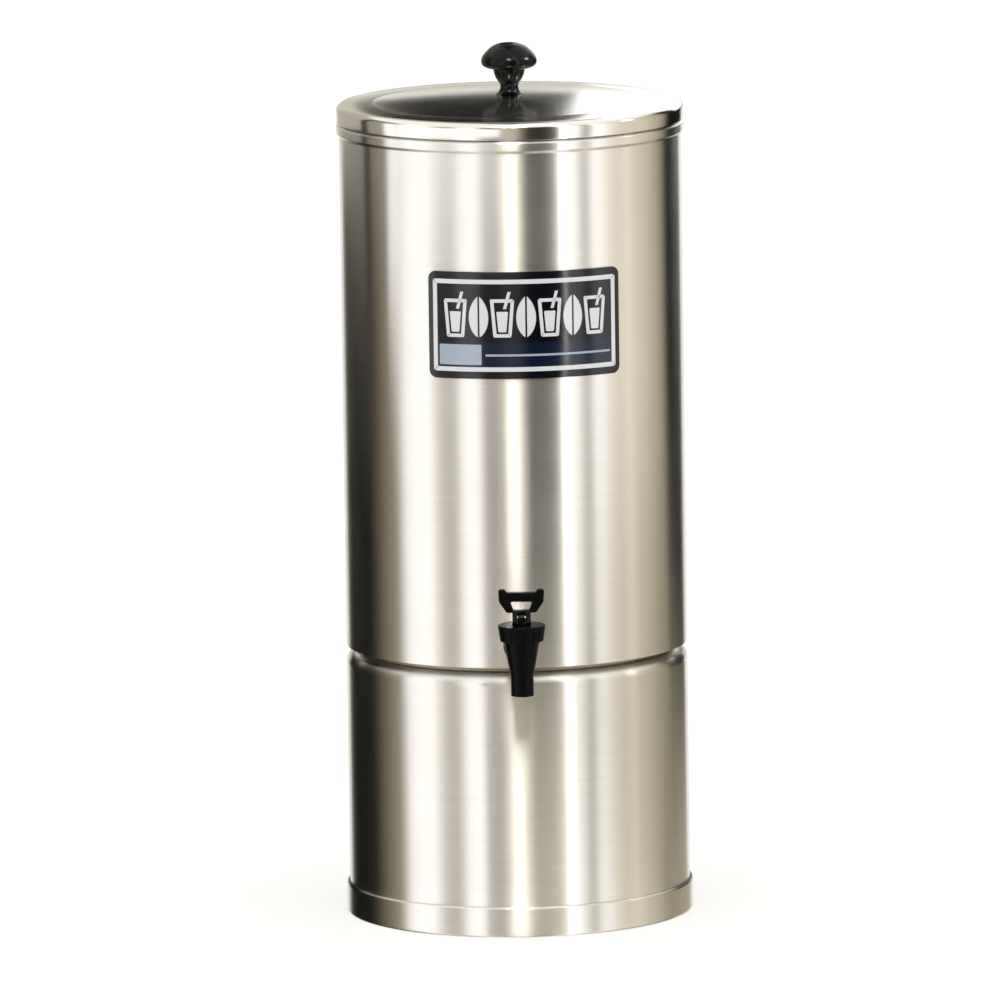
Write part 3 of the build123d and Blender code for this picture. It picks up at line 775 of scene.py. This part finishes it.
# Studio cards round the object, as the steel shows them: (turn to the right of the camera in
# degrees, colour)
LEFT_CARDS = [
    (-180, "ffffff"), (-168, "ffffff"), (-163, "0d0c0a"), (-117, "0d0c0a"), (-111, "3a342a"),
    (-101, "6a6152"), (-88, "8a8272"), (-80, "ffffff"), (-61, "ffffff"), (-56, "cfcac2"),
    (-50, "a5a096"), (-42, "a8a39a"), (-36, "ffffff"), (-26, "ffffff"), (-20, "827c73"),
    (-11, "827c73"), (-6, "b4aea2"), (-3, "b4ae9f"), (0, "b4ae9f"),
]
RIGHT_CARDS = [
    (0, "b4ae9f"), (2, "b4ae9f"), (6, "7c766a"), (10, "302c23"), (20, "2a261f"), (30, "38342b"),
    (35, "e0dcd6"), (37, "ffffff"), (44, "ffffff"), (49, "a5a096"), (52, "a5a096"), (56, "ffffff"),
    (62, "ffffff"), (66, "f0e9e2"), (72, "dcd4c8"), (80, "ccc3b6"), (88, "ccc4b6"), (96, "c8c0b1"),
    (106, "b8b1a0"), (116, "a09a87"), (122, "85806d"), (127, "2a281f"), (131, "0c0b09"),
    (155, "0c0b09"), (160, "ffffff"), (180, "ffffff"),
]
# Cards behind the object by height of the ray: (sine of the elevation, colour)
BEHIND_CARDS = [
    (-1.0, "ffffff"), (-0.06, "d4d2cb"), (-0.03, "a9a897"), (0.04, "bcbaaf"), (0.06, "e6e5e1"),
    (0.09, "e2e1dc"), (0.105, "8d8b7d"), (0.13, "070606"), (0.45, "070606"), (0.55, "8d8b86"),
    (1.0, "55534f"),
]
CARD_STRENGTH = 1.6
# Turns away from the camera, in degrees, between which the cards behind take over
BEHIND_FROM, BEHIND_FULL = 155, 163
# Heights of the ray, as sines of its elevation, between which the ceiling takes over
CEILING_FROM, CEILING_FULL = 0.45, 0.62
CEILING_COLOUR = "efede8"
# Lamps are full up to their inner half width and gone at their outer one, in degrees.
# One tall narrow lamp to the right of the camera:
TALL_LAMP_TURN, TALL_LAMP_INNER, TALL_LAMP_OUTER, TALL_LAMP_STRENGTH = 34.5, 1.1, 1.6, 9.0
# One small soft box high on the right:
SIDE_BOX_DIRECTION = (0.92, -0.04, 0.39)
SIDE_BOX_INNER, SIDE_BOX_OUTER, SIDE_BOX_STRENGTH = 3.5, 5.0, 10.0
# The main soft box, high in front, and its rise as the sine of the elevation:
MAIN_BOX_TURN, MAIN_BOX_INNER, MAIN_BOX_OUTER, MAIN_BOX_STRENGTH = -1.3, 4.5, 6.0, 58.0
MAIN_BOX_RISE, MAIN_BOX_RISE_INNER, MAIN_BOX_RISE_OUTER = 0.7, 0.07, 0.1
# Light of the room on everything that isn't polished
ROOM_STRENGTH = 0.9
WHITE = (1.0, 1.0, 1.0, 1.0)


def make_floor():
    """Plain pale floor, white to the camera where no shadow lies."""
    material, tree = new_material("pale_floor")
    paper = add(tree, "ShaderNodeBsdfDiffuse", {}, {"Color": linear("f0f0ee")})
    seen = add(tree, "ShaderNodeLightPath", {}, {})
    lift = add(
        tree,
        "ShaderNodeMath",
        {"operation": "MULTIPLY"},
        {0: seen.outputs["Is Camera Ray"], 1: FLOOR_GLOW},
    )
    glow = add(tree, "ShaderNodeEmission", {}, {"Color": WHITE, "Strength": lift.outputs[0]})
    both = add(tree, "ShaderNodeAddShader", {}, {0: paper.outputs[0], 1: glow.outputs[0]})
    add(tree, "ShaderNodeOutputMaterial", {}, {"Surface": both.outputs[0]})
    mesh = bmesh.new()
    bmesh.ops.create_grid(mesh, x_segments=1, y_segments=1, size=FLOOR_HALF_SIDE)
    floor = mesh_object("studio_floor", mesh, material)
    floor.visible_glossy = False


def card_ramp(tree, factor, cards, low, high):
    """The colours of the cards along one sweep from low to high."""
    ramp = add(tree, "ShaderNodeValToRGB", {}, {0: factor})
    stops = ramp.color_ramp.elements
    while len(stops) < len(cards):
        stops.new(0.5)
    for stop, (place, colour) in zip(stops, cards):
        stop.position = (place - low) / (high - low)
        stop.color = linear(colour)
    return ramp.outputs[0]


def fade(tree, value, middle, inner, outer, strength):
    """Full strength up to inner on both sides of the middle of a value, none from outer on."""
    aside = add(tree, "ShaderNodeMath", {"operation": "SUBTRACT"}, {0: value, 1: middle})
    away = add(tree, "ShaderNodeMath", {"operation": "ABSOLUTE"}, {0: aside.outputs[0]})
    return add(
        tree,
        "ShaderNodeMapRange",
        {},
        {"Value": away.outputs[0], 1: inner, 2: outer, 3: strength, 4: 0.0},
    ).outputs[0]


def make_studio():
    """Soft white light for everything.

    Polished things see a ring of white and grey cards, and the camera sees white."""
    world = bpy.data.worlds.new("studio")
    bpy.context.scene.world = world
    world.use_nodes = True
    tree = world.node_tree
    tree.nodes.clear()
    ray = add(tree, "ShaderNodeTexCoord", {}, {}).outputs["Generated"]
    across, deep, up = add(tree, "ShaderNodeSeparateXYZ", {}, {0: ray}).outputs
    forward = add(tree, "ShaderNodeMath", {"operation": "MULTIPLY"}, {0: deep, 1: -1.0}).outputs[0]
    turn = add(
        tree, "ShaderNodeMath", {"operation": "ARCTAN2"}, {0: across, 1: forward}
    ).outputs[0]
    left = add(
        tree, "ShaderNodeMapRange", {}, {"Value": turn, 1: -math.pi, 2: 0.0, 3: 0.0, 4: 1.0}
    ).outputs[0]
    right = add(
        tree, "ShaderNodeMapRange", {}, {"Value": turn, 1: 0.0, 2: math.pi, 3: 0.0, 4: 1.0}
    ).outputs[0]
    is_right = add(
        tree, "ShaderNodeMath", {"operation": "GREATER_THAN"}, {0: turn, 1: 0.0}
    ).outputs[0]
    walls = add(
        tree,
        "ShaderNodeMix",
        {"data_type": "RGBA"},
        {
            "Factor": is_right,
            "A": card_ramp(tree, left, LEFT_CARDS, -180, 0),
            "B": card_ramp(tree, right, RIGHT_CARDS, 0, 180),
        },
    ).outputs["Result"]
    over = add(
        tree,
        "ShaderNodeMapRange",
        {"interpolation_type": "SMOOTHSTEP"},
        {"Value": up, 1: CEILING_FROM, 2: CEILING_FULL, 3: 0.0, 4: 1.0},
    ).outputs[0]
    room = add(
        tree,
        "ShaderNodeMix",
        {"data_type": "RGBA"},
        {"Factor": over, "A": walls, "B": linear(CEILING_COLOUR)},
    ).outputs["Result"]
    height = add(
        tree, "ShaderNodeMapRange", {}, {"Value": up, 1: -1.0, 2: 1.0, 3: 0.0, 4: 1.0}
    ).outputs[0]
    behind = card_ramp(tree, height, BEHIND_CARDS, -1.0, 1.0)
    off_axis = add(tree, "ShaderNodeMath", {"operation": "ABSOLUTE"}, {0: turn}).outputs[0]
    back = add(
        tree,
        "ShaderNodeMapRange",
        {"interpolation_type": "SMOOTHSTEP"},
        {
            "Value": off_axis,
            1: math.radians(BEHIND_FROM),
            2: math.radians(BEHIND_FULL),
            3: 0.0,
            4: 1.0,
        },
    ).outputs[0]
    cards = add(
        tree, "ShaderNodeMix", {"data_type": "RGBA"}, {"Factor": back, "A": room, "B": behind}
    ).outputs["Result"]

    tall_lamp = fade(
        tree,
        turn,
        math.radians(TALL_LAMP_TURN),
        math.radians(TALL_LAMP_INNER),
        math.radians(TALL_LAMP_OUTER),
        TALL_LAMP_STRENGTH,
    )
    towards = add(
        tree,
        "ShaderNodeVectorMath",
        {"operation": "DOT_PRODUCT"},
        {0: ray, 1: Vector(SIDE_BOX_DIRECTION).normalized()},
    ).outputs["Value"]
    side_box = add(
        tree,
        "ShaderNodeMapRange",
        {},
        {
            "Value": towards,
            1: math.cos(math.radians(SIDE_BOX_OUTER)),
            2: math.cos(math.radians(SIDE_BOX_INNER)),
            3: 0.0,
            4: SIDE_BOX_STRENGTH,
        },
    ).outputs[0]
    # The grain draws the main box out to the middle streak and to the faucet's soft shadow
    beside = fade(
        tree,
        turn,
        math.radians(MAIN_BOX_TURN),
        math.radians(MAIN_BOX_INNER),
        math.radians(MAIN_BOX_OUTER),
        MAIN_BOX_STRENGTH,
    )
    high = fade(tree, up, MAIN_BOX_RISE, MAIN_BOX_RISE_INNER, MAIN_BOX_RISE_OUTER, 1.0)
    main_box = add(
        tree, "ShaderNodeMath", {"operation": "MULTIPLY"}, {0: beside, 1: high}
    ).outputs[0]
    strength = CARD_STRENGTH
    for lamp in (tall_lamp, side_box, main_box):
        strength = add(
            tree, "ShaderNodeMath", {"operation": "ADD"}, {0: lamp, 1: strength}
        ).outputs[0]

    seen = add(tree, "ShaderNodeLightPath", {}, {})
    glossy = add(tree, "ShaderNodeBackground", {}, {"Color": cards, "Strength": strength})
    soft = add(tree, "ShaderNodeBackground", {}, {"Color": WHITE, "Strength": ROOM_STRENGTH})
    white = add(tree, "ShaderNodeBackground", {}, {"Color": WHITE, "Strength": 1.0})
    lit = add(
        tree,
        "ShaderNodeMixShader",
        {},
        {0: seen.outputs["Is Glossy Ray"], 1: soft.outputs[0], 2: glossy.outputs[0]},
    )
    shown = add(
        tree,
        "ShaderNodeMixShader",
        {},
        {0: seen.outputs["Is Camera Ray"], 1: lit.outputs[0], 2: white.outputs[0]},
    )
    add(tree, "ShaderNodeOutputWorld", {}, {"Surface": shown.outputs[0]})


def make_card(name, size, lean, turn, middle, colour, strength=CARD_STRENGTH, veil=False):
    """A card near the object, seen only by polished things.

    size and middle are in metres. The card is stood up, leant back by lean and then turned about Z,
    both in degrees. A veil has no light of its own and only dims what is behind it."""
    material, tree = new_material(name)
    if veil:
        surface = add(tree, "ShaderNodeBsdfTransparent", {}, {"Color": linear(colour)})
    else:
        light = {"Color": linear(colour), "Strength": strength}
        surface = add(tree, "ShaderNodeEmission", {}, light)
    add(tree, "ShaderNodeOutputMaterial", {}, {"Surface": surface.outputs[0]})
    upright = Matrix.Rotation(math.radians(90 - lean), 3, "X")
    stand = Matrix.Rotation(math.radians(turn), 3, "Z") @ upright
    mesh = bmesh.new()
    # A square with sides of one metre, its size being half a side, brought to the card's size
    bmesh.ops.create_grid(mesh, x_segments=1, y_segments=1, size=0.5)
    bmesh.ops.scale(mesh, vec=(*size, 1.0), verts=mesh.verts)
    bmesh.ops.rotate(mesh, cent=(0, 0, 0), matrix=stand, verts=mesh.verts)
    bmesh.ops.translate(mesh, vec=middle, verts=mesh.verts)
    card = mesh_object(name, mesh, material)
    card.visible_camera = False
    card.visible_diffuse = False
    card.visible_shadow = False
    card.visible_transmission = False


def make_near_cards():
    """Cards close enough to the object that only its top, its sides or its foot sees them."""
    # White behind the right half of the lid and grey behind its left edge
    make_card("lid_card", (0.9, 0.8), 0, 0, (0.543, 1.1, 1.115), "ffffff")
    make_card("lid_edge_card", (0.9, 0.8), 0, 0, (-0.572, 1.1, 1.06), "aeac9e")
    # White in front on the left at the height of the lid: it evens the skirt and the wall's top
    make_card("lid_front_card", (0.496, 0.13), 0, -44.5, (-0.239, -0.326, 0.613), "ffffff")
    # Grey at the left, behind and above the tank, seen by the left edge of the lid's skirt
    make_card("lid_side_card", (0.37, 0.4), 0, -140, (-0.382, 0.266, 0.735), "a39f95")
    # Low and pale in front on the right and at the right side, seen by the foot alone
    make_card("low_card", (0.205, 0.30), 0, 11, (0.129, -0.44, -0.05), "b8b2a1")
    make_card("low_side_card", (0.62, 0.50), 0, 140, (0.765, 0.722, -0.30), "aba38f")
    # Low and grey in front on the left: it lightens the dip beside the middle streak on the base
    make_card("low_left_card", (0.097, 0.50), 0, -16, (-0.104, -0.428, -0.05), "a19b92")
    # White and grey at the left, seen by the upper wall alone, where the left streak is wider
    make_card("high_side_card", (0.064, 0.28), 0, -90, (-0.40, -0.104, 0.58), "ffffff")
    make_card("high_edge_card", (0.105, 0.20), 0, -90, (-0.40, -0.0195, 0.645), "8f8a80")
    # Through the veil at the right the lower half of the wall sees its streaks dimmed
    make_card("low_veil", (0.81, 0.32), 0, 70, (0.327, -0.1244, 0.14), "e1e0dc", veil=True)
    # Small lamp over the lid for the knob alone
    make_card("knob_card", (0.028, 0.028), 45, 90, (0.120, -0.022, 0.716), "ffffff", strength=40.0)


def make_camera():
    """Long lens from far off, a little above and to the left, tilted by less than a degree."""
    distance, height, turn = 10.214, 1.885, math.radians(1.2)
    heading, pitch, tilt = math.radians(1.136), math.radians(8.741), math.radians(-0.8)
    data = bpy.data.cameras.new("camera")
    data.lens = 488.3
    data.sensor_width = 36.0
    data.clip_end = 100.0
    camera = bpy.data.objects.new("camera", data)
    bpy.context.collection.objects.link(camera)
    level = math.cos(pitch)
    look = Vector((math.sin(heading) * level, math.cos(heading) * level, -math.sin(pitch)))
    camera.rotation_mode = "QUATERNION"
    camera.rotation_quaternion = look.to_track_quat("-Z", "Y") @ Quaternion((0, 0, 1), tilt)
    camera.location = (-distance * math.sin(turn), -distance * math.cos(turn), height)
    bpy.context.scene.camera = camera


make_floor()
make_studio()
make_near_cards()
make_camera()
bpy.context.scene.view_settings.view_transform = "Standard"
